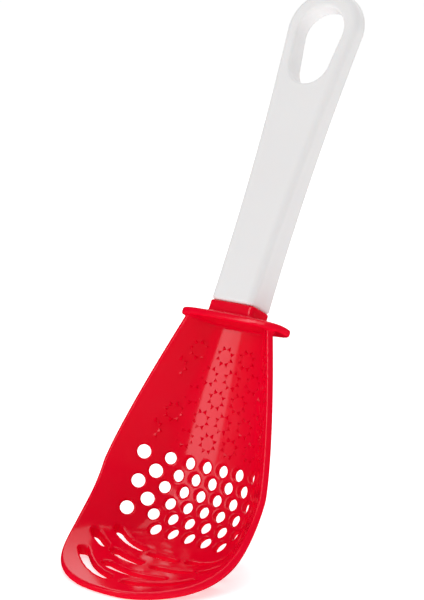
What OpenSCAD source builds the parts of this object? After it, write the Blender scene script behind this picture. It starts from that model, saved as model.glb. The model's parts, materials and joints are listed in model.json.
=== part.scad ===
// Strainer and masher cooking spoon with a hanging handle.
// Frame: the masher foot stands on z = 0, the scoop opens towards -Y, the handle leans back to +Y.
// All lengths are in millimetres.

/* [Foot] */
// Half of the greatest width across the scoop, inside the walls
scoop_half_width = 39; // [34:0.5:44]
// How far the front lip reaches from the origin
lip_reach = 31.5; // [28:0.5:35]
// Distance from the origin back to the corner where floor and back wall lines meet
floor_corner = 33; // [30:0.5:36]
// Thickness of the moulded wall and floor
wall_thickness = 2.8; // [2.2:0.1:3.2]
// Radius of the bend between floor and back wall
floor_bend_radius = 29; // [22:1:32]
// Radius of the sweep of the side rims down to the lip
rim_bend_radius = 50; // [40:1:54]

/* [Slots] */
// Width of the masher slots
slot_width = 4; // [3:0.25:4.5]

/* [Scoop] */
// Lean of the handle and the side rims back from the vertical
handle_lean = 28; // [26:0.5:30]
// Height of the hanging flange's underside above the foot, on the handle's axis
flange_height = 89.5; // [86:0.5:93]
// Distance of the flange's centre behind the origin
flange_back = 54.7; // [53:0.1:56]
// Half width of the scoop where it meets the flange
top_half_width = 19.4; // [17:0.2:21]
// Depth of the trough where it meets the flange
top_depth = 12.2; // [10:0.2:14]

/* [Strainer] */
// Diameter of the strainer holes
hole_diameter = 5; // [4:0.1:5.6]
// Diameter of the holes in the outermost columns
edge_hole_diameter = 5.8; // [4.5:0.1:6.2]
// Distance between two holes in a row
hole_pitch = 8.3; // [8:0.1:8.6]
// Distance between two rows of holes
row_pitch = 6.05; // [5.9:0.05:6.1]

/* [Grater] */
// Radius of a ring of eight grater teeth
ring_radius = 3.5; // [3:0.1:3.8]
// Height of a grater tooth
tooth_height = 0.8; // [0.5:0.1:1.2]

/* [Flange and neck] */
// Half width of the oval hanging flange
flange_half_width = 25.4; // [24.6:0.2:28]
// Half depth of the oval hanging flange
flange_half_depth = 9; // [8.6:0.2:11]
// Thickness of the hanging flange
flange_thickness = 3; // [2:0.1:3.4]
// Width of the neck
neck_width = 22; // [19:0.5:23]
// Depth of the neck
neck_depth = 13; // [12:0.5:14]
// Height of the bare neck between flange and handle
neck_height = 5.2; // [4:0.2:9]

/* [Handle] */
// Length of the handle
handle_length = 140.8; // [120:0.2:160]
// Width of the handle at its lower end
handle_low_width = 21.2; // [20.5:0.1:23]
// Thickness of the handle at its lower end
handle_low_depth = 16.4; // [14.4:0.1:17]
// Radius of the rounded upper end
handle_end_radius = 17.4; // [16:0.2:19]
// Thickness of the handle at its upper end
handle_end_depth = 9.2; // [7:0.1:10]
// Radius of the upper round of the hanging hole
hole_top_radius = 11.2; // [9.5:0.1:11.8]
// Radius of the lower round of the hanging hole
hole_low_radius = 9.4; // [8:0.1:10]
// Distance between the centres of the two rounds
hole_spacing = 14.4; // [12:0.2:18]

/* [Part] */
// Which node to draw

/* [Hidden] */
red = [0.86, 0.02, 0.10];
white = [0.94, 0.93, 0.92];
lip_slope = 10.5;
lip_start_width = 6;
plan_centre = 11;
plan_power = 2.2;
flat_share = 0.28;
trough_flat_share = 0.54;
trough_flat_gain = 0.1;
trough_softness = 0.12;
rim_slope = 63.2;
rim_top_inset = 6;
wall_top_inset = top_depth - rim_top_inset;
hole_angle = 61;
hole_fan = 0.75;
column_pitch = 5.5;
first_ring_row = -12;
ring_row_pitch = 9;
tooth_reach = 0.8;
slot_steps = 8;
bow_reach = 20;
split = 1.6;
foot_steps = 22;
wall_steps = 26;
across_steps = 26;
oval_power = 3;
neck_corner = 1.5;
tang_width = 16;
tang_depth = 10;
tang_length = 27;
play = 0.2;
edge_round = 2.6;
end_centre = flange_thickness + neck_height + handle_length - handle_end_radius;
handle_start = flange_thickness + neck_height;

// ---- The curved sheet, as a function of u (0 lip, 3 flange) and of an angle across it ----

// A point in the handle's frame (origin at the flange's underside), taken to the part's frame as [y, z]
function from_handle(y, z) = [
    flange_back + y * cos(handle_lean) + z * sin(handle_lean),
    flange_height - y * sin(handle_lean) + z * cos(handle_lean)
];

// How far a point lies along the handle's axis from the flange's underside
function along_handle(p) =
    (p.y - flange_back) * sin(handle_lean) + (p.z - flange_height) * cos(handle_lean);

rim_start = [-lip_reach, wall_thickness];
rim_top = from_handle(-rim_top_inset, 0);
rim_direction = [cos(rim_slope), sin(rim_slope)];
lip_direction = [cos(lip_slope), sin(lip_slope)];
rim_turn = rim_slope - lip_slope;
// Where the lip's line meets the side rim's line
rim_span = rim_top - rim_start;
rim_run = (rim_span.x * rim_direction.y - rim_span.y * rim_direction.x) / sin(rim_turn);
rim_corner = rim_start + rim_run * lip_direction;
rim_tangent = rim_bend_radius * tan(rim_turn / 2);
rim_rise = norm(rim_top - rim_corner);

wall_top = from_handle(wall_top_inset, 0);
floor_end = [floor_corner, wall_thickness];
wall_angle = atan2(wall_top.y - floor_end.y, wall_top.x - floor_end.x);
wall_direction = [cos(wall_angle), sin(wall_angle)];
floor_tangent = floor_bend_radius * tan(wall_angle / 2);
wall_rise = norm(wall_top - floor_end);
level_end = floor_corner - floor_tangent;
level_start = rim_start.x + (rim_run - rim_tangent) * lip_direction.x;
bend_length = floor_bend_radius * wall_angle * PI / 180;

// The side rim in side view, as [y, z]
function rim(u) =
    u < 1 ? rim_start + u * (rim_run - rim_tangent) * lip_direction :
    u < 2 ? rim_arc(lip_slope + (u - 1) * rim_turn) :
    rim_corner + (rim_tangent + (u - 2) * (rim_rise - rim_tangent)) * rim_direction;

function rim_arc(a) =
    rim_corner - rim_tangent * lip_direction
    + rim_bend_radius * [sin(a) - sin(lip_slope), cos(lip_slope) - cos(a)];

// The middle line of the sheet in side view, as [y, z]
function middle(u) =
    u < 1 ? [rim(u).x, wall_thickness] :
    u < 2 ? middle_bend((u - 1) * (level_end - level_start + bend_length)) :
    floor_end + (floor_tangent + (u - 2) * (wall_rise - floor_tangent)) * wall_direction;

function middle_bend(s) =
    s < level_end - level_start
    ? [level_start + s, wall_thickness]
    : middle_arc((s - level_end + level_start) / floor_bend_radius * 180 / PI);

function middle_arc(a) =
    [level_end + floor_bend_radius * sin(a), wall_thickness + floor_bend_radius * (1 - cos(a))];

// Half the width between the rims
function half_width(u) =
    u < 2
    ? (rim(u).x < plan_centre ? plan_width(rim(u).x) : scoop_half_width)
    : scoop_half_width - (scoop_half_width - top_half_width) * pow(u - 2, 1.24);

function plan_width(y) =
    let (s = min(1, (plan_centre - y) / (lip_reach + plan_centre)))
    max(lip_start_width, scoop_half_width * pow(1 - pow(s, plan_power), 1 / plan_power));

// Blends the dished foot (0) into the round-cornered trough (1)
function blend(u) = u < 1 ? 0 : u > 2 ? 1 : (u - 1) * (u - 1) * (5 - 2 * u);

// Rise of the dished foot's section from its flat middle (0) to the rim (1), x being 0 to 1 across
function foot_rise(x) = pow(max(0, (x - flat_share) / (1 - flat_share)), 2);

// Zero below 0 and v above it, with a soft turn between the two
function soft_step(v) = (v + sqrt(v * v + trough_softness * trough_softness)) / 2;

// Rise of the trough's section: flat as far as the share "flat", then a straight side up to the rim
function trough_rise(x, flat) =
    (soft_step(x - flat) - soft_step(-flat)) / (soft_step(1 - flat) - soft_step(-flat));

// Rise of the sheet at u, going from the foot's section to the trough's
function rise(x, u) =
    let (k = blend(u), flat = trough_flat_share + trough_flat_gain * max(0, u - 2))
    (1 - k) * foot_rise(x) + k * trough_rise(x, flat);

// A point on the inner face, a being -90 to 90 from rim to rim
function inner(u, a) =
    let (m = middle(u), side = rim(u) - m, h = rise(abs(sin(a)), u))
    [half_width(u) * sin(a), m.x + side.x * h, m.y + side.y * h];

function unit(v) = v / norm(v);

// The direction out of the scoop's outer face
function outward(u, a) =
    let (e = 0.01, b = max(-85, min(85, a)), c = max(0.02, min(2.98, u)))
    unit(cross(inner(c, b + 0.5) - inner(c, b - 0.5), inner(c + e, b) - inner(c - e, b))) * -1;

// How much further down the foot's underside lies, so that the face that mashes is wide and flat
function foot_depth(u, a) =
    let (q = max(0, (abs(sin(a)) - flat_share) / (1 - flat_share)))
    (1 - blend(u)) * (rim(u) - middle(u)).y * q * q * (1 - pow(q, 4));

function outer(u, a) = inner(u, a) + wall_thickness * outward(u, a) - [0, 0, foot_depth(u, a)];

// The u at which the inner face passes a given distance below the flange, at a given x
function u_at(x, z, low = 1.2, high = 3, tries = 16) =
    tries == 0 ? (low + high) / 2 :
    along_handle(inner_at((low + high) / 2, x)) < z
    ? u_at(x, z, (low + high) / 2, high, tries - 1)
    : u_at(x, z, low, (low + high) / 2, tries - 1);

function angle_at(u, x) = asin(max(-1, min(1, x / half_width(u))));
function inner_at(u, x) = inner(u, angle_at(u, x));

// ---- Modules that build on the sheet ----

// The sheet between two values of u, as one closed solid
module sheet(from, to, steps) {
    count = across_steps + 1;
    angles = [for (j = [0 : across_steps]) -90 + 180 * j / across_steps];
    us = [for (i = [0 : steps]) from + (to - from) * i / steps];
    points = concat(
        [for (u = us) for (a = angles) inner(u, a)],
        [for (u = us) for (a = angles) outer(u, a)]
    );
    shift = len(us) * count;
    function at(i, j) = i * count + j;
    faces = concat(
        [for (i = [0 : steps - 1]) for (j = [0 : across_steps - 1])
            each [[at(i, j), at(i + 1, j), at(i + 1, j + 1)], [at(i, j), at(i + 1, j + 1), at(i, j + 1)]]],
        [for (i = [0 : steps - 1]) for (j = [0 : across_steps - 1])
            each [
                [shift + at(i, j), shift + at(i + 1, j + 1), shift + at(i + 1, j)],
                [shift + at(i, j), shift + at(i, j + 1), shift + at(i + 1, j + 1)]
            ]],
        [for (i = [0 : steps - 1]) for (j = [0, across_steps])
            let (a = at(i, j), b = at(i + 1, j), flip = j > 0)
            each flip
                ? [[a, b, shift + b], [a, shift + b, shift + a]]
                : [[a, shift + b, b], [a, shift + a, shift + b]]],
        [for (i = [0, steps]) for (j = [0 : across_steps - 1])
            let (a = at(i, j), b = at(i, j + 1), flip = i > 0)
            each flip
                ? [[a, shift + b, b], [a, shift + a, shift + b]]
                : [[a, b, shift + b], [a, shift + b, shift + a]]]
    );
    polyhedron(points, faces, convexity = 8);
}

// Places its children on the inner face with +Z pointing into the scoop
module on_inner(x, z) {
    u = u_at(x, z);
    translate(inner_at(u, x))
        point_along(-outward(u, angle_at(u, x)))
            children();
}

// Turns its children's +Z to a direction
module point_along(direction) {
    rotate([0, acos(direction.z), atan2(direction.y, direction.x)])
        children();
}

module in_handle_frame() {
    translate([0, flange_back, flange_height])
        rotate([-handle_lean, 0, 0])
            children();
}

// ---- Parts ----

// A hole along the mould's draw direction, which fans out a little towards the sides
module strainer_hole(x, z, diameter) {
    u = u_at(x, z);
    aside = -hole_fan * outward(u, angle_at(u, x)).x;
    ahead = sqrt(1 - aside * aside);
    translate(inner_at(u, x))
        point_along([aside, -sin(hole_angle) * ahead, cos(hole_angle) * ahead])
            translate([0, 0, -2.5 * wall_thickness])
                cylinder(h = 5 * wall_thickness, d = diameter, $fn = 20);
}

module strainer_holes() {
    first_row = -57.4;
    for (row = [0 : 5], side = [-1, 1]) {
        z = first_row - row * row_pitch;
        odd = row % 2;
        for (column = [0 : 2]) {
            x = (column + (odd ? 0 : 0.5)) * hole_pitch;
            if (x > 0 || side > 0) strainer_hole(side * x, z, hole_diameter);
        }
        if (row < 5)
            strainer_hole(side * (odd ? 24.6 : 28.8), z - 0.7, edge_hole_diameter);
    }
}

// Eight three-sided teeth around a ring, each with one edge pointing outwards.
// The teeth that would stand on the steep sides are left out.
module grater_ring(x, z) {
    limit = tooth_reach * half_width(u_at(x, z));
    on_inner(x, z)
        for (turn = [25 : 45 : 340])
            if (abs(x) + ring_radius * cos(turn) * sign(x) < limit)
                rotate([0, 0, turn])
                    translate([ring_radius, 0, -0.5])
                        hull() {
                            cylinder(h = 0.01, r = 1.25, $fn = 3);
                            translate([0.2, 0, tooth_height + 0.5])
                                cylinder(h = 0.01, r = 0.12, $fn = 3);
                        }
}

module grater_rings() {
    for (row = [0 : 4], column = [-5 : 5])
        if ((row + column) % 2 != 0)
            grater_ring(column * column_pitch, first_ring_row - ring_row_pitch * row);
}

module scoop_wall() {
    color(red)
        difference() {
            union() {
                sheet(split, 3, wall_steps);
                grater_rings();
            }
            strainer_holes();
            in_handle_frame()
                translate([-60, -60, 0])
                    cube([120, 120, 20]);
        }
}

// The middle line of a slot in plan. It passes through y = front and bows back by "bow" at bow_reach.
function slot_point(front, bow, x) = [x, front + bow * pow(x / bow_reach, 2)];
function slot_side(front, bow, x) =
    let (e = 0.2, d = unit(slot_point(front, bow, x + e) - slot_point(front, bow, x - e))) [-d.y, d.x];

// One curved slot with round ends, through the floor
module slot(front, bow, from, to) {
    r = slot_width / 2;
    xs = [for (i = [0 : slot_steps]) from + (to - from) * i / slot_steps];
    near = [for (x = xs) slot_point(front, bow, x) - r * slot_side(front, bow, x)];
    far = [for (x = xs) slot_point(front, bow, x) + r * slot_side(front, bow, x)];
    translate([0, 0, -5])
        linear_extrude(40) {
            polygon(concat(near, [for (i = [slot_steps : -1 : 0]) far[i]]));
            for (x = [from, to])
                translate(slot_point(front, bow, x))
                    circle(r = r, $fn = 32);
        }
}

// A slot on the right and the same slot on the left
module slot_pair(front, bow, from, to) {
    slot(front, bow, from, to);
    slot(front, bow, -to, -from);
}

module masher_slots() {
    slot_pair(-21, 7, 4.5, 27.5);
    slot(-12.2, 5, -14, 14);
    slot_pair(-1.6, 3.6, 4, 19);
    slot_pair(-1.8, 2.5, 25, 31);
    slot(9, 1.5, -5.5, 5.5);
    slot_pair(10.6, 1.7, 12, 26.5);
}

module masher_foot() {
    color(red)
        difference() {
            sheet(0, split, foot_steps);
            masher_slots();
        }
}

module hanging_flange() {
    color(red)
        in_handle_frame()
            linear_extrude(flange_thickness)
                polygon([for (a = [0 : 3.75 : 356])
                    [flange_half_width * squared(cos(a)), flange_half_depth * squared(sin(a))]]);
}

// Turns a sine or cosine into that of an oval with squarer corners
function squared(v) = sign(v) * pow(abs(v), 2 / oval_power);

// A block with rounded upright edges, centred on the axis
module rounded_block(width, depth, height, radius) {
    translate([-width / 2 + radius, -depth / 2, 0])
        cube([width - 2 * radius, depth, height]);
    translate([-width / 2, -depth / 2 + radius, 0])
        cube([width, depth - 2 * radius, height]);
    for (x = [-1, 1], y = [-1, 1])
        translate([x * (width / 2 - radius), y * (depth / 2 - radius), 0])
            cylinder(h = height, r = radius, $fn = 48);
}

module neck_tang() {
    color(red)
        in_handle_frame()
            translate([0, 0, flange_thickness]) {
                rounded_block(neck_width, neck_depth, neck_height, neck_corner);
                rounded_block(tang_width, tang_depth, neck_height + tang_length, 2);
            }
}

// Width and depth of the handle at a share of the way to its upper end
function handle_width(t) = handle_low_width + (2 * handle_end_radius - handle_low_width) * pow(t, 1.9);
function handle_depth(t) = handle_low_depth + (handle_end_depth - handle_low_depth) * t;

module handle_slice(t) {
    z = handle_start + t * (end_centre - handle_start);
    r = edge_round;
    for (x = [-1, 1], y = [-1, 1])
        translate([x * (handle_width(t) / 2 - r), y * (handle_depth(t) / 2 - r), z])
            cylinder(h = 0.01, r = r, $fn = 32);
}

module handle_end() {
    r = edge_round;
    for (turn = [0 : 15 : 180], y = [-1, 1])
        translate([
            (handle_end_radius - r) * cos(turn),
            y * (handle_end_depth / 2 - r),
            end_centre + (handle_end_radius - r) * sin(turn)
        ])
            sphere(r = r, $fn = 16);
}

module hanging_hole() {
    low = end_centre - 2 - hole_spacing;
    lean = asin((hole_top_radius - hole_low_radius) / hole_spacing);
    sides = [
        [hole_top_radius * cos(lean), low + hole_spacing - hole_top_radius * sin(lean)],
        [hole_low_radius * cos(lean), low - hole_low_radius * sin(lean)]
    ];
    rotate([90, 0, 0])
        translate([0, 0, -20]) {
            translate([0, low + hole_spacing, 0])
                cylinder(h = 40, r = hole_top_radius, $fn = 96);
            translate([0, low, 0])
                cylinder(h = 40, r = hole_low_radius, $fn = 96);
            linear_extrude(40)
                polygon([sides[0], sides[1], [-sides[1].x, sides[1].y], [-sides[0].x, sides[0].y]]);
        }
}

module handle() {
    steps = [0, 0.3, 0.55, 0.78, 1];
    color(white)
        in_handle_frame()
            difference() {
                union() {
                    for (i = [0 : len(steps) - 2])
                        hull() {
                            handle_slice(steps[i]);
                            handle_slice(steps[i + 1]);
                        }
                    hull() {
                        handle_slice(1);
                        handle_end();
                    }
                }
                hanging_hole();
                translate([0, 0, handle_start - 1])
                    rounded_block(tang_width + play, tang_depth + play, tang_length + 1 + play, 2);
            }
}

scoop_wall();
masher_foot();
hanging_flange();
neck_tang();
handle();
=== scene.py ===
import json
import math

import bpy
import numpy as np
import openvdb
from mathutils import Matrix, Vector


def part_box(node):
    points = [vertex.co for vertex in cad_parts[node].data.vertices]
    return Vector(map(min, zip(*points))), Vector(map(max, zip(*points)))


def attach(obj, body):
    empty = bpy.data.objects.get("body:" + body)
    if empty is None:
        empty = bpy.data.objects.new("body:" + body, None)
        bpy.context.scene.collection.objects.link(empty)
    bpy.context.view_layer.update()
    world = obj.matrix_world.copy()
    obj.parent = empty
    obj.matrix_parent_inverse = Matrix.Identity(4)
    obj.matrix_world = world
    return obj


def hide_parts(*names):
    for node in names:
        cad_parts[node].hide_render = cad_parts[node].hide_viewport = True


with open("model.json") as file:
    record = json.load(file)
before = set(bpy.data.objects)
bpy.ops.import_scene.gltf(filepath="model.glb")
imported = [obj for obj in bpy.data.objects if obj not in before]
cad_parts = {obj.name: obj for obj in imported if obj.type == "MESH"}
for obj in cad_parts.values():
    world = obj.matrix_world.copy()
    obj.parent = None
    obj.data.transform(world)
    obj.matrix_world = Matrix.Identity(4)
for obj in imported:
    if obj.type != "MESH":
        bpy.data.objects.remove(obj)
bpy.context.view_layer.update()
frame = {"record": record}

# Lengths are in millimetres up to the making of a mesh, where MM takes them to metres.
MM = 0.001

# ---- Sizes read from the CAD frame ----
foot_low_corner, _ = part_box("masher_foot")
lip_reach = -foot_low_corner[1] / MM
mounts = {mount["name"]: mount for mount in frame["record"]["mounts"]}
rim_rest = mounts["pot_rim_rest_right"]

# The handle's own frame starts at the middle of the flange's underside
flange_back = rim_rest["pos_m"][1] / MM
flange_height = rim_rest["pos_m"][2] / MM
handle_lean = math.asin(-rim_rest["axis"][1])
across = np.array([1.0, 0.0, 0.0])
depthwise = np.array([0.0, math.cos(handle_lean), -math.sin(handle_lean)])
upward = np.array([0.0, math.sin(handle_lean), math.cos(handle_lean)])
flange_centre = np.array([0.0, flange_back, flange_height])

# ---- Sizes of the red head, as in the CAD ----
scoop_half_width = 39
wall = 2.8

# In side view: the floor is level up to a bend, and the rims rise from the lip in two straight runs
floor_corner = 33
floor_bend_radius = 29
rim_bend_radius = 50
lip_slope = math.radians(10.5)
rim_slope = math.radians(63.2)
rim_top_inset = 6
top_depth = 12.2

# In plan and towards the flange: an oval lip, then sides that draw in
lip_start_width = 6
plan_centre = 11
plan_power = 2.2
top_half_width = 19.4
narrowing_power = 1.24

# In section: the level middle of the foot and of the trough, as a share of the half width
flat_share = 0.28
trough_flat_share = 0.54
trough_flat_gain = 0.1
trough_softness = 0.12
# how far the sheet's run goes on into the flange, 3 being its underside
into_flange = 3.03

# Flange, neck and tang
flange_half_width = 25.4
flange_half_depth = 9
flange_thickness = 3
oval_power = 3
neck_width = 22
neck_depth = 13
neck_height = 5.2
neck_corner = 1.5
tang_width = 16
tang_depth = 10
tang_corner = 2
tang_length = 27

# Strainer holes
hole_rows = 6
holes_beside_middle = 3
edge_hole_rows = 5
hole_radius = 2.5
edge_hole_radius = 2.9
hole_pitch = 8.3
hole_row_pitch = 6.05
first_hole_row = 57.4
edge_columns = (28.8, 24.6)
edge_hole_drop = 0.7
hole_angle = math.radians(61)
hole_fan = 0.75

# Grater rings and their teeth
ring_rows = 5
ring_columns_beside_middle = 5
ring_radius = 3.5
ring_row_pitch = 9
ring_column_pitch = 5.5
first_ring_row = 12
ring_turn = 25
teeth_per_ring = 8
tooth_reach = 0.8
tooth_height = 0.8
tooth_root = 0.6
tooth_outer_length = 1.3
tooth_inner_length = 0.75
tooth_half_width = 1.0
tooth_tip_shift = 0.1

# Masher slots
slot_width = 4
bow_reach = 20
# each slot passes through y = front, bows back by "bow" at bow_reach, and runs from one x to another
single_slots = ((-12.2, 5, -14, 14), (9, 1.5, -5.5, 5.5))
paired_slots = ((-21, 7, 4.5, 27.5), (-1.6, 3.6, 4, 19), (-1.8, 2.5, 25, 31), (10.6, 1.7, 12, 26.5))

# ---- Sizes of the white handle, as in the CAD ----
handle_start = flange_thickness + neck_height
handle_length = 140.8
handle_low_width = 21.2
handle_low_depth = 16.4
handle_end_radius = 17.4
handle_end_depth = 9.2
handle_flare_power = 1.9
end_centre = handle_start + handle_length - handle_end_radius
hole_top_radius = 11.2
hole_low_radius = 9.4
hole_spacing = 14.4
hole_drop = 2
hole_top = end_centre - hole_drop
long_edge_round = 3.4
low_end_round = 1.2
hole_edge_round = 1.3
# how far the tang and the neck run on into what they join
overlap = 1
play = 0.2

# ---- Fineness of the meshes ----
voxel = 0.34
sheet_steps_along = 150
sheet_steps_across = 100
inner_corner_round = 0.35
outer_edge_round = 0.55
relax_rounds = 2
sharp_angle = math.radians(35)


# ---- Solids: closed meshes that are joined, cut and rounded ----


class Solid:
    """A closed mesh in millimetres: points, and faces as quads or triangles."""

    def __init__(self, points, triangles=(), quads=()):
        self.points = np.asarray(points, np.float32).reshape(-1, 3)
        self.triangles = np.asarray(triangles, np.uint32).reshape(-1, 3)
        self.quads = np.asarray(quads, np.uint32).reshape(-1, 4)

    def placed(self, origin, x_axis, y_axis, z_axis):
        """The same solid in a frame given by its origin and axes."""
        turned = self.points @ np.array([x_axis, y_axis, z_axis])
        return Solid(turned + origin, self.triangles, self.quads)


def joined(solids):
    """Several solids as one set of faces. Where they overlap, the level set makes them one."""
    points = []
    triangles = []
    quads = []
    count = 0
    for solid in solids:
        points.append(solid.points)
        triangles.append(solid.triangles + count)
        quads.append(solid.quads + count)
        count += len(solid.points)
    return Solid(np.concatenate(points), np.concatenate(triangles), np.concatenate(quads))


def level_set(solid, reach):
    """Signed distances to the solid's faces, up to reach on each side."""
    return openvdb.FloatGrid.createLevelSetFromPolygons(
        solid.points,
        triangles=solid.triangles if len(solid.triangles) else None,
        quads=solid.quads if len(solid.quads) else None,
        transform=openvdb.createLinearTransform(voxelSize=voxel),
        halfWidth=reach / voxel + 3,
    )


def offset(solid, distance):
    """The solid grown by a distance, or shrunk if it is negative."""
    grid = level_set(solid, abs(distance))
    points, triangles, quads = grid.convertToPolygons(isovalue=distance)
    # the polygons come out wound inwards
    return Solid(points, triangles[:, ::-1], quads[:, ::-1])


def rounded(solid, radius):
    """Rounds every outer edge to a radius: shrinks the solid and grows it again."""
    return offset(offset(solid, -radius), radius)


def filleted(solid, radius):
    """Fills every inner corner to a radius: grows the solid and shrinks it again."""
    return offset(offset(solid, radius), -radius)


def cut(solid, cutters):
    """The solid less its cutters."""
    return combined(solid, cutters, "DIFFERENCE")


def combined(solid, others, operation):
    """The solid and a set of others, joined or cut by Blender's exact mesh arithmetic."""
    body = to_object("body", solid)
    other = to_object("other", joined(others))
    modifier = body.modifiers.new(operation, "BOOLEAN")
    modifier.object = other
    modifier.operation = operation
    modifier.solver = "MANIFOLD"
    mesh = modified_mesh(body)
    points = mesh_points(mesh)
    mesh.calc_loop_triangles()
    triangles = np.empty(3 * len(mesh.loop_triangles), np.int32)
    mesh.loop_triangles.foreach_get("vertices", triangles)
    for used in (body, other):
        bpy.data.objects.remove(used)
    return Solid(points, triangles)


def modified_mesh(piece):
    """An object's mesh with its modifiers applied."""
    return piece.evaluated_get(bpy.context.evaluated_depsgraph_get()).to_mesh()


def mesh_points(mesh):
    """A Blender mesh's points in millimetres."""
    points = np.empty(3 * len(mesh.vertices), np.float32)
    mesh.vertices.foreach_get("co", points)
    return points / MM


def to_object(name, solid):
    """A Blender object in metres from a solid in millimetres."""
    mesh = bpy.data.meshes.new(name)
    corners = np.concatenate([solid.triangles.ravel(), solid.quads.ravel()]).astype(np.int32)
    sizes = np.array([3] * len(solid.triangles) + [4] * len(solid.quads), np.int32)
    mesh.vertices.add(len(solid.points))
    mesh.vertices.foreach_set("co", (solid.points * MM).astype(np.float32).ravel())
    mesh.loops.add(len(corners))
    mesh.loops.foreach_set("vertex_index", corners)
    mesh.polygons.add(len(sizes))
    mesh.polygons.foreach_set("loop_start", np.cumsum(sizes).astype(np.int32) - sizes)
    mesh.update(calc_edges=True)
    mesh.validate()
    piece = bpy.data.objects.new(name, mesh)
    bpy.context.scene.collection.objects.link(piece)
    bpy.context.view_layer.update()
    return piece


def prism(outline, low, high):
    """A closed prism over an outline in plan, from one height to another."""
    count = len(outline)
    points = [(x, y, z) for z in (low, high) for x, y in outline]
    points += [(*np.mean(outline, axis=0), z) for z in (low, high)]
    triangles = []
    quads = []
    for i in range(count):
        j = (i + 1) % count
        quads.append((i, j, count + j, count + i))
        triangles.append((2 * count, j, i))
        triangles.append((2 * count + 1, count + i, count + j))
    return Solid(points, triangles, quads)


def side_quads(levels, count):
    """The faces between rings of count points each."""
    quads = []
    for level in range(levels - 1):
        for i in range(count):
            a = level * count + i
            b = level * count + (i + 1) % count
            quads.append((a, b, b + count, a + count))
    return quads


def loft(rings):
    """A closed solid through rings with the same number of points, capped at both ends."""
    count = len(rings[0])
    points = [point for ring in rings for point in ring]
    points += [np.mean(rings[0], axis=0), np.mean(rings[-1], axis=0)]
    first_cap = len(points) - 2
    last_cap = len(points) - 1
    quads = side_quads(len(rings), count)
    triangles = []
    last = (len(rings) - 1) * count
    for i in range(count):
        j = (i + 1) % count
        triangles.append((first_cap, j, i))
        triangles.append((last_cap, last + i, last + j))
    return Solid(points, triangles, quads)


def circle_points(radius, count):
    """Points round a circle about the origin."""
    turns = np.linspace(0, 2 * math.pi, count, endpoint=False)
    return [(radius * math.cos(t), radius * math.sin(t)) for t in turns]


# ---- The scoop's curved sheet: u runs from the lip (0) to the flange (3), x_share from rim to rim ----


def in_side_view(y, z):
    """A point of the handle's frame in side view, as (y, z) of the part's frame."""
    return (flange_centre + y * depthwise + z * upward)[1:]


def direction(angle):
    """A unit step in side view, at an angle above level."""
    return np.array([math.cos(angle), math.sin(angle)])


rim_start = np.array([-lip_reach, wall])
rim_top = in_side_view(-rim_top_inset, 0)
rim_turn = rim_slope - lip_slope
rim_span = rim_top - rim_start
rim_run = (rim_span[0] * math.sin(rim_slope) - rim_span[1] * math.cos(rim_slope)) / math.sin(rim_turn)
rim_corner = rim_start + rim_run * direction(lip_slope)
rim_tangent = rim_bend_radius * math.tan(rim_turn / 2)
rim_rise = np.linalg.norm(rim_top - rim_corner)

wall_top = in_side_view(top_depth - rim_top_inset, 0)
floor_end = np.array([floor_corner, wall])
wall_angle = math.atan2(*(wall_top - floor_end)[::-1])
floor_tangent = floor_bend_radius * math.tan(wall_angle / 2)
wall_rise = np.linalg.norm(wall_top - floor_end)
level_end = floor_corner - floor_tangent
level_start = rim_start[0] + (rim_run - rim_tangent) * math.cos(lip_slope)
bend_length = floor_bend_radius * wall_angle


def rim(u):
    """The side rim in side view."""
    if u < 1:
        return rim_start + u * (rim_run - rim_tangent) * direction(lip_slope)
    if u < 2:
        angle = lip_slope + (u - 1) * rim_turn
        sweep = [math.sin(angle) - math.sin(lip_slope), math.cos(lip_slope) - math.cos(angle)]
        return rim_corner - rim_tangent * direction(lip_slope) + rim_bend_radius * np.array(sweep)
    return rim_corner + (rim_tangent + (u - 2) * (rim_rise - rim_tangent)) * direction(rim_slope)


def middle(u):
    """The sheet's middle line in side view."""
    if u < 1:
        return np.array([rim(u)[0], wall])
    if u < 2:
        run = (u - 1) * (level_end - level_start + bend_length)
        if run < level_end - level_start:
            return np.array([level_start + run, wall])
        angle = (run - level_end + level_start) / floor_bend_radius
        bend = [math.sin(angle), 1 - math.cos(angle)]
        return np.array([level_end, wall]) + floor_bend_radius * np.array(bend)
    return floor_end + (floor_tangent + (u - 2) * (wall_rise - floor_tangent)) * direction(wall_angle)


def half_width(u):
    """Half the width between the rims."""
    if u >= 2:
        return scoop_half_width - (scoop_half_width - top_half_width) * (u - 2) ** narrowing_power
    y = rim(u)[0]
    if y >= plan_centre:
        return scoop_half_width
    share = min(1, (plan_centre - y) / (lip_reach + plan_centre))
    return max(lip_start_width, scoop_half_width * (1 - share**plan_power) ** (1 / plan_power))


def blend(u):
    """0 for the dished foot, 1 for the round-cornered trough."""
    u = min(2, max(1, u))
    return (u - 1) ** 2 * (5 - 2 * u)


def foot_rise(x):
    """Rise of the dished foot's section, from its flat middle (0) to the rim (1). x runs from 0 to 1."""
    return max(0, (x - flat_share) / (1 - flat_share)) ** 2


def soft_step(value):
    """Zero below 0 and the value above it, with a soft turn between the two."""
    return (value + math.hypot(value, trough_softness)) / 2


def trough_rise(x, flat):
    """Rise of the trough's section: level as far as the share flat, then straight up to the rim."""
    start = soft_step(-flat)
    return (soft_step(x - flat) - start) / (soft_step(1 - flat) - start)


def rise(x, u):
    """Rise of the sheet at u, going from the foot's section to the trough's."""
    share = blend(u)
    flat = trough_flat_share + trough_flat_gain * max(0, u - 2)
    return (1 - share) * foot_rise(x) + share * trough_rise(x, flat)


def inner(u, x_share):
    """A point of the sheet's inner face, x_share being -1 to 1 from rim to rim."""
    low = middle(u)
    lift = rise(abs(x_share), u)
    side = low + (rim(u) - low) * lift
    return np.array([half_width(u) * x_share, side[0], side[1]])


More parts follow.
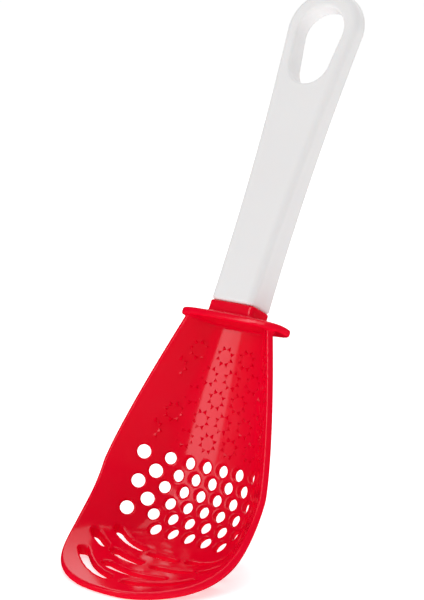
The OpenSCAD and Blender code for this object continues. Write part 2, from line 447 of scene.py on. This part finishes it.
def outward(u, x_share):
    """The direction out of the scoop's outer face."""
    step = 0.004
    margin = 0.02
    widest_angle = math.radians(85)
    u = min(3 - margin, max(margin, u))
    angle = math.asin(min(1, max(-1, x_share)))
    angle = min(widest_angle, max(-widest_angle, angle))
    sideways = inner(u, math.sin(angle + step)) - inner(u, math.sin(angle - step))
    onward = inner(u + step, math.sin(angle)) - inner(u - step, math.sin(angle))
    normal = -np.cross(sideways, onward)
    return normal / np.linalg.norm(normal)


def outer(u, x_share):
    """A point of the sheet's outer face. The foot's underside stays down, so that it mashes flat."""
    share = max(0, (abs(x_share) - flat_share) / (1 - flat_share))
    depth = (1 - blend(u)) * (rim(u) - middle(u))[1] * share**2 * (1 - share**4)
    return inner(u, x_share) + wall * outward(u, x_share) - np.array([0, 0, depth])


def sheet(steps_along, steps_across):
    """The whole sheet as a closed solid. Each ring goes out on the inner face and back on the outer."""
    # the steps are finer near the rims, where the sheet turns most
    shares = [math.sin(math.radians(-90 + 180 * j / steps_across)) for j in range(steps_across + 1)]
    rings = []
    for u in np.linspace(0, into_flange, steps_along + 1):
        inside = [inner(u, share) for share in shares]
        outside = [outer(u, share) for share in shares]
        rings.append(inside + outside[::-1])
    return strip_loft(rings, steps_across + 1)


def strip_loft(rings, width):
    """A loft whose rings are a face out and a face back, capped by joining the two faces."""
    count = 2 * width
    points = [point for ring in rings for point in ring]
    quads = side_quads(len(rings), count)
    last = (len(rings) - 1) * count
    for i in range(width - 1):
        quads.append((i, count - 1 - i, count - 2 - i, i + 1))
        quads.append((last + i, last + i + 1, last + count - 2 - i, last + count - 1 - i))
    return Solid(points, quads=quads)


def wall_u(x, z):
    """The u at which the inner face passes x and a height z along the handle."""
    low = 1.2
    high = 3.0
    for _ in range(24):
        u = (low + high) / 2
        if (inner(u, min(1, max(-1, x / half_width(u)))) - flange_centre) @ upward < z:
            low = u
        else:
            high = u
    return u


def place_on_wall(x, z):
    """The inner face's point at x and z along the handle, and the direction out of the outer face."""
    u = wall_u(x, z)
    return inner(u, x / half_width(u)), outward(u, x / half_width(u))


def axes_from(normal):
    """Two directions across a normal, the first one level."""
    first = np.cross([0, 0, 1], normal)
    first = first / np.linalg.norm(first)
    return first, np.cross(normal, first)


# ---- Cutters and teeth of the scoop ----


def strainer_cutter(x, z, radius):
    """A round cutter along the mould's draw direction, which fans out a little towards the sides."""
    point, out = place_on_wall(x, z)
    aside = hole_fan * out[0]
    ahead = math.sqrt(1 - aside * aside)
    axis = np.array([aside, math.sin(hole_angle) * ahead, -math.cos(hole_angle) * ahead])
    first, second = axes_from(axis)
    reach = 2.5 * wall
    return prism(circle_points(radius, 40), -reach, reach).placed(point, first, second, axis)


def strainer_cutters():
    """Staggered rows of holes, with a larger hole at each end of a row."""
    cutters = []
    for row in range(hole_rows):
        z = -first_hole_row - row * hole_row_pitch
        odd = row % 2
        first = 0 if odd else hole_pitch / 2
        columns = [column * hole_pitch + first for column in range(holes_beside_middle)]
        places = sorted({side * x for x in columns for side in (-1, 1)})
        cutters += [strainer_cutter(x, z, hole_radius) for x in places]
        if row < edge_hole_rows:
            x = edge_columns[odd]
            z -= edge_hole_drop
            cutters += [strainer_cutter(side * x, z, edge_hole_radius) for side in (-1, 1)]
    return cutters


def slot_point(front, bow, x):
    """A point of a slot's middle line, in plan."""
    return np.array([x, front + bow * (x / bow_reach) ** 2])


def slot_cutter(front, bow, start, end):
    """A cutter for one curved slot with round ends, from below the foot to above the rim."""
    low = -5
    high = 35
    xs = np.linspace(start, end, 25)
    line = [slot_point(front, bow, x) for x in xs]
    tangents = [slot_point(front, bow, x + 0.1) - slot_point(front, bow, x - 0.1) for x in xs]
    tangents = [t / np.linalg.norm(t) for t in tangents]
    sides = [np.array([-t[1], t[0]]) for t in tangents]
    radius = slot_width / 2
    outline = [p - radius * s for p, s in zip(line, sides)]
    outline += arc_points(line[-1], radius, tangents[-1], sides[-1], -90, 90)
    outline += [p + radius * s for p, s in zip(line[::-1], sides[::-1])]
    outline += arc_points(line[0], radius, tangents[0], sides[0], 90, 270)
    return outline_prism(outline, len(xs), low, high)


def arc_points(centre, radius, first, second, start, end):
    """Points inside an arc, its angle in degrees from the first direction towards the second."""
    turns = np.radians(np.linspace(start, end, 13)[1:-1])
    return [centre + radius * (math.cos(t) * first + math.sin(t) * second) for t in turns]


def outline_prism(outline, run, low, high):
    """A prism over a long curved outline, its caps made of strips across the run."""
    count = len(outline)
    points = [(x, y, z) for z in (low, high) for x, y in outline]
    quads = [(i, (i + 1) % count, count + (i + 1) % count, count + i) for i in range(count)]
    ends = (count - 2 * run) // 2
    back = run + ends
    triangles = []
    for a in range(run - 1):
        b = a + 1
        d = back + run - 1 - a
        c = d - 1
        quads.append((a, d, c, b))
        quads.append((count + a, count + b, count + c, count + d))
    for a in (run - 1, back + run - 1):
        for i in range(1, ends + 1):
            b = (a + i) % count
            c = (a + i + 1) % count
            triangles.append((a, c, b))
            triangles.append((count + a, count + b, count + c))
    return Solid(points, triangles, quads)


def slot_cutters():
    """The slots in the middle, and the others in mirrored pairs."""
    cutters = [slot_cutter(*slot) for slot in single_slots]
    for front, bow, near, far in paired_slots:
        cutters += [slot_cutter(front, bow, near, far), slot_cutter(front, bow, -far, -near)]
    return cutters


def grater_tooth(point, out, turn):
    """A small three-sided tooth on the inner face, with a steep side towards the middle of its ring."""
    first, second = axes_from(out)
    away = math.cos(turn) * first + math.sin(turn) * second
    along = np.cross(out, away)
    base = point + ring_radius * away
    inner_side = base - tooth_inner_length * away
    side_step = tooth_half_width * along
    foot = [base + tooth_outer_length * away, inner_side + side_step, inner_side - side_step]
    sunk = [p + tooth_root * out for p in foot]
    tip = base + tooth_tip_shift * away - tooth_height * out
    points = sunk + foot + [tip]
    triangles = [(0, 1, 2), (3, 6, 4), (4, 6, 5), (5, 6, 3)]
    quads = [(0, 3, 4, 1), (1, 4, 5, 2), (2, 5, 3, 0)]
    return Solid(points, triangles, quads)


def grater_teeth():
    """Rings of teeth in staggered rows, without the teeth that would stand on the steep sides."""
    teeth = []
    turns = np.radians(ring_turn + np.arange(0, 360, 360 / teeth_per_ring))
    for row in range(ring_rows):
        z = -first_ring_row - ring_row_pitch * row
        for column in range(-ring_columns_beside_middle, ring_columns_beside_middle + 1):
            if (row + column) % 2 == 0:
                continue
            x = column * ring_column_pitch
            point, out = place_on_wall(x, z)
            limit = tooth_reach * half_width(wall_u(x, z))
            for turn in turns:
                tooth = grater_tooth(point, out, turn)
                if abs(np.mean(tooth.points[:, 0])) < limit:
                    teeth.append(tooth)
    return teeth


# ---- Flange, neck and handle, in the handle's frame ----


def in_handle_frame(solid):
    """A solid made in the handle's own frame, put in its place."""
    return solid.placed(flange_centre, across, depthwise, upward)


def rounded_rectangle(width, depth, radius):
    """The outline of a rectangle with round corners."""
    steps = 8
    outline = []
    corners = ((1, 1, 0), (-1, 1, 90), (-1, -1, 180), (1, -1, 270))
    for side_x, side_y, start in corners:
        for turn in np.linspace(start, start + 90, steps + 1):
            angle = math.radians(turn)
            x = side_x * (width / 2 - radius) + radius * math.cos(angle)
            y = side_y * (depth / 2 - radius) + radius * math.sin(angle)
            outline.append((x, y))
    return outline


def squared(value):
    """Turns a sine or cosine into that of an oval with squarer corners."""
    return math.copysign(abs(value) ** (2 / oval_power), value)


def flange():
    """The plate, an oval with squarer corners."""
    oval = []
    for turn in np.linspace(0, 2 * math.pi, 120, endpoint=False):
        x = flange_half_width * squared(math.cos(turn))
        y = flange_half_depth * squared(math.sin(turn))
        oval.append((x, y))
    return in_handle_frame(prism(oval, 0, flange_thickness))


def neck():
    """The block between the flange and the handle."""
    outline = rounded_rectangle(neck_width, neck_depth, neck_corner)
    return in_handle_frame(prism(outline, flange_thickness - overlap, handle_start))


def tang():
    """The tongue that goes up into the handle."""
    outline = rounded_rectangle(tang_width, tang_depth, tang_corner)
    return in_handle_frame(prism(outline, handle_start - overlap, handle_start + tang_length))


def handle_width(share):
    """The handle's width at a share of its height, which flares towards the upper end."""
    flare = 2 * handle_end_radius - handle_low_width
    return handle_low_width + flare * share**handle_flare_power


def handle_depth(share):
    """The handle's depth at a share of its height."""
    return handle_low_depth + (handle_end_depth - handle_low_depth) * share


def handle_blank():
    """A tapering slab with rounded long edges, a round upper end and a softened lower end."""
    rings = []
    for turn in np.radians(np.linspace(0, 90, 7)):
        inset = low_end_round * (1 - math.sin(turn))
        z = handle_start + low_end_round * (1 - math.cos(turn))
        rings.append(slab_ring(z, inset))
    for z in np.linspace(handle_start + low_end_round, end_centre, 60)[1:]:
        rings.append(slab_ring(z, 0))
    for turn in np.radians(np.linspace(0, 89, 48)[1:]):
        rings.append(slab_ring(end_centre + handle_end_radius * math.sin(turn), 0))
    return in_handle_frame(loft(rings))


def half_depth_at(z):
    """Half the handle's depth at a height."""
    share = (z - handle_start) / (end_centre - handle_start)
    return handle_depth(min(1, max(0, share))) / 2


def slab_ring(z, inset):
    """The handle's section at a height: a rounded rectangle that closes over the round upper end."""
    r = long_edge_round
    share = min(1, (z - handle_start) / (end_centre - handle_start))
    core_x = handle_width(share) / 2 - r - inset
    core_y = half_depth_at(z) - r - inset
    above = max(0, z - end_centre)
    limit = math.pi / 2 if above <= core_x else math.acos(min(1, (above - core_x) / r))
    side = []
    for turn in np.linspace(-limit, limit, 17):
        reach = core_x + r * math.cos(turn)
        x = math.sqrt(max(0, reach * reach - above * above))
        side.append((x, core_y * np.sign(turn) + r * math.sin(turn), z))
    return side + [(-x, y, z) for x, y, z in side[::-1]]


def hanging_hole_cutter():
    """Two arcs and their common tangents make the hole's outline. It widens at each face."""
    last_step = 0.8
    profile = []
    for turn in np.radians(np.linspace(0, 75, 8)):
        widening = hole_edge_round * (1 - math.cos(turn))
        above_face = hole_edge_round * (math.sin(turn) - 1)
        profile.append((widening, above_face))
    # goes on straight, to end clear of the face
    profile.append((widening + last_step * math.sin(turn), above_face + last_step * math.cos(turn)))
    front = [hole_ring(widening, -1, above_face) for widening, above_face in profile]
    back = [hole_ring(widening, 1, above_face) for widening, above_face in profile]
    return in_handle_frame(loft(front[::-1] + back))


def hole_ring(widening, side, above_face):
    """The hole's outline on the front (side -1) or the back (side 1), at a height above that face."""
    lean = math.asin((hole_top_radius - hole_low_radius) / hole_spacing)
    hole_low = hole_top - hole_spacing
    arcs = (
        (hole_top, hole_top_radius, -lean, math.pi + lean),
        (hole_low, hole_low_radius, math.pi + lean, 2 * math.pi - lean),
    )
    ring = []
    for centre, arc_radius, start, end in arcs:
        radius = arc_radius + widening
        for turn in np.linspace(start, end, 49):
            z = centre + radius * math.sin(turn)
            ring.append((radius * math.cos(turn), side * (half_depth_at(z) + above_face), z))
    return ring[::-1]


def tang_cutter():
    """The socket for the tang, with a little play."""
    outline = rounded_rectangle(tang_width + play, tang_depth + play, tang_corner)
    return in_handle_frame(prism(outline, handle_start - 2 * overlap, handle_start + tang_length + play))


# ---- Pieces ----


def relaxed(solid, rounds):
    """Evens out the grid's faint steps."""
    piece = to_object("relaxed", solid)
    modifier = piece.modifiers.new("relax", "SMOOTH")
    modifier.factor = 0.5
    modifier.iterations = rounds
    points = mesh_points(modified_mesh(piece))
    bpy.data.objects.remove(piece)
    return Solid(points, solid.triangles, solid.quads)


def smooth_piece(name, solid):
    """An object with smooth shading, apart from the sharp edges."""
    piece = to_object(name, solid)
    piece.data.shade_smooth()
    piece.data.set_sharp_from_angle(angle=sharp_angle)
    return piece


def make_head():
    """The whole red moulding as one closed mesh."""
    shell = cut(sheet(sheet_steps_along, sheet_steps_across), strainer_cutters() + slot_cutters())
    # the sheet's top end goes into the flange, and what would stand above it is cut off
    reach = 60
    square = [(-reach, -reach), (reach, -reach), (reach, reach), (-reach, reach)]
    shell = cut(shell, [in_handle_frame(prism(square, flange_thickness / 2, 30))])
    moulding = filleted(joined([shell, flange(), neck(), tang()]), inner_corner_round)
    moulding = relaxed(rounded(moulding, outer_edge_round), relax_rounds)
    # the teeth come last, so that they stay sharp
    return smooth_piece("red_head", combined(moulding, grater_teeth(), "UNION"))


def make_handle():
    """The whole white moulding as one closed mesh."""
    piece = smooth_piece("white_handle", cut(handle_blank(), [hanging_hole_cutter(), tang_cutter()]))
    # keeps the large flat faces evenly shaded up to their rounded edges
    piece.modifiers.new("even_shading", "WEIGHTED_NORMAL").keep_sharp = True
    return piece


# ---- Materials ----


def new_material(name, colour, roughness):
    """A material with its node tree and its shader."""
    material = bpy.data.materials.new(name)
    material.use_nodes = True
    shader = material.node_tree.nodes["Principled BSDF"]
    shader.inputs["Base Color"].default_value = (*colour, 1)
    shader.inputs["Roughness"].default_value = roughness
    return material, material.node_tree, shader


def noise(tree, scale, detail=2):
    """Noise in the object's own coordinates."""
    place = tree.nodes.new("ShaderNodeTexCoord")
    texture = tree.nodes.new("ShaderNodeTexNoise")
    texture.inputs["Scale"].default_value = scale
    texture.inputs["Detail"].default_value = detail
    tree.links.new(place.outputs["Object"], texture.inputs["Vector"])
    return texture


def ranged(tree, source, low, high):
    """Maps a 0 to 1 source to a range."""
    mapping = tree.nodes.new("ShaderNodeMapRange")
    mapping.inputs["To Min"].default_value = low
    mapping.inputs["To Max"].default_value = high
    tree.links.new(source, mapping.inputs["Value"])
    return mapping.outputs["Result"]


def mixed_colour(tree, source, first, second):
    """Goes from one colour to another as the source goes from 0 to 1."""
    mix = tree.nodes.new("ShaderNodeMix")
    mix.data_type = "RGBA"
    mix.inputs["A"].default_value = (*first, 1)
    mix.inputs["B"].default_value = (*second, 1)
    tree.links.new(source, mix.inputs["Factor"])
    return mix.outputs["Result"]


def add_bump(tree, shader, source, strength, distance):
    """Gives the shader's surface a fine relief."""
    bump = tree.nodes.new("ShaderNodeBump")
    bump.inputs["Strength"].default_value = strength
    bump.inputs["Distance"].default_value = distance
    tree.links.new(source, bump.inputs["Height"])
    tree.links.new(bump.outputs["Normal"], shader.inputs["Normal"])


def red_plastic():
    """Glossy moulded plastic: deep red with a faint cloudiness, and a skin with a slight ripple."""
    material, tree, shader = new_material("red_plastic", (0.88, 0.0, 0.02), 0.2)
    clouds = noise(tree, 45)
    colour = mixed_colour(tree, clouds.outputs["Fac"], (0.86, 0.0, 0.017), (0.92, 0.0, 0.026))
    tree.links.new(colour, shader.inputs["Base Color"])
    roughness = ranged(tree, noise(tree, 160).outputs["Fac"], 0.1, 0.17)
    tree.links.new(roughness, shader.inputs["Roughness"])
    ripple = noise(tree, 90, 1)
    add_bump(tree, shader, ripple.outputs["Fac"], 0.12, 0.0004)
    shader.inputs["Specular IOR Level"].default_value = 0.5
    return material


def white_plastic():
    """Satin moulded plastic: warm white with a fine even texture."""
    material, tree, shader = new_material("white_plastic", (0.88, 0.86, 0.85), 0.42)
    clouds = noise(tree, 30)
    colour = mixed_colour(tree, clouds.outputs["Fac"], (0.84, 0.825, 0.825), (0.87, 0.86, 0.86))
    tree.links.new(colour, shader.inputs["Base Color"])
    roughness = ranged(tree, noise(tree, 300).outputs["Fac"], 0.36, 0.48)
    tree.links.new(roughness, shader.inputs["Roughness"])
    grain = noise(tree, 2200, 3)
    add_bump(tree, shader, grain.outputs["Fac"], 0.12, 0.0001)
    shader.inputs["Subsurface Weight"].default_value = 0.15
    shader.inputs["Subsurface Radius"].default_value = (0.004, 0.003, 0.0025)
    return material


def floor_paper():
    """Plain white paper, lit so that it fades into the background without an edge."""
    material, tree, shader = new_material("floor_paper", (0.95, 0.95, 0.95), 0.8)
    fibre = noise(tree, 400, 4)
    add_bump(tree, shader, fibre.outputs["Fac"], 0.05, 0.0002)
    shader.inputs["Specular IOR Level"].default_value = 0.1
    shader.inputs["Emission Color"].default_value = (1, 1, 1, 1)
    shader.inputs["Emission Strength"].default_value = 0.52
    return material


# ---- Stage, lights and camera ----


def make_floor():
    """A wide flat disc just under the spoon, which shows no horizon."""
    count = 96
    radii = (0.4, 2, 8, 30)
    height = -0.0002
    points = [(x, y, height) for radius in radii for x, y in circle_points(radius, count)]
    middle_point = len(points)
    points.append((0, 0, height))
    faces = [(i, (i + 1) % count, middle_point) for i in range(count)]
    faces += [face[::-1] for face in side_quads(len(radii), count)]
    mesh = bpy.data.meshes.new("floor")
    mesh.from_pydata(points, [], faces)
    piece = bpy.data.objects.new("floor", mesh)
    bpy.context.scene.collection.objects.link(piece)
    piece.data.materials.append(floor_paper())
    piece.visible_glossy = False


def add_soft_light(name, place, aim, size, power):
    """A rectangular light at a place, turned towards its aim."""
    data = bpy.data.lights.new(name, "AREA")
    data.shape = "RECTANGLE"
    data.size, data.size_y = size
    data.energy = power
    light = bpy.data.objects.new(name, data)
    bpy.context.scene.collection.objects.link(light)
    light.location = place
    light.rotation_euler = (Vector(aim) - Vector(place)).to_track_quat("-Z", "Y").to_euler()


def make_lights():
    """Soft lights aimed at the middle of the spoon, in an even white room."""
    aim = (0, 0.04, 0.1)
    add_soft_light("strip_light", (-0.51, -0.91, 0.5), aim, (0.28, 0.7), 1.2)
    add_soft_light("front_light", (-0.35, -1.1, 0.9), aim, (0.6, 0.6), 1.6)
    add_soft_light("back_light", (-0.2, 0.9, 0.95), aim, (1.6, 1.4), 8)
    add_soft_light("top_light", (0.1, -0.2, 1.5), aim, (0.8, 0.8), 2)
    world = bpy.data.worlds.new("studio")
    world.use_nodes = True
    background = world.node_tree.nodes["Background"]
    background.inputs["Color"].default_value = (1, 1, 1, 1)
    background.inputs["Strength"].default_value = 0.56
    # only the soft lights show in the gloss, as between black studio screens
    world.cycles_visibility.glossy = False
    bpy.context.scene.world = world


def make_camera():
    """The camera, rolled so that the spoon leans to the right."""
    place = Vector((430.2, -544.8, 270.6)) * MM
    target = Vector((-9.7, 52.2, 99.2)) * MM
    roll = math.radians(17.375)
    data = bpy.data.cameras.new("camera")
    data.lens = 111.48
    data.sensor_width = 36
    camera = bpy.data.objects.new("camera", data)
    bpy.context.scene.collection.objects.link(camera)
    back = (place - target).normalized()
    right = Vector(upward).cross(back).normalized()
    up = back.cross(right)
    turned_right = right * math.cos(roll) + up * math.sin(roll)
    turned_up = up * math.cos(roll) - right * math.sin(roll)
    axes = Matrix((turned_right, turned_up, back)).transposed().to_4x4()
    camera.matrix_world = Matrix.Translation(place) @ axes
    bpy.context.scene.camera = camera


def set_colour_management():
    """Shows the colours as they are, without a film look."""
    view = bpy.context.scene.view_settings
    view.view_transform = "Standard"
    view.look = "None"


head = make_head()
head.data.materials.append(red_plastic())
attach(head, "root")
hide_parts("scoop_wall", "masher_foot", "hanging_flange", "neck_tang")

handle = make_handle()
handle.data.materials.append(white_plastic())
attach(handle, "root")
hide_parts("handle")

make_floor()
make_lights()
make_camera()
set_colour_management()
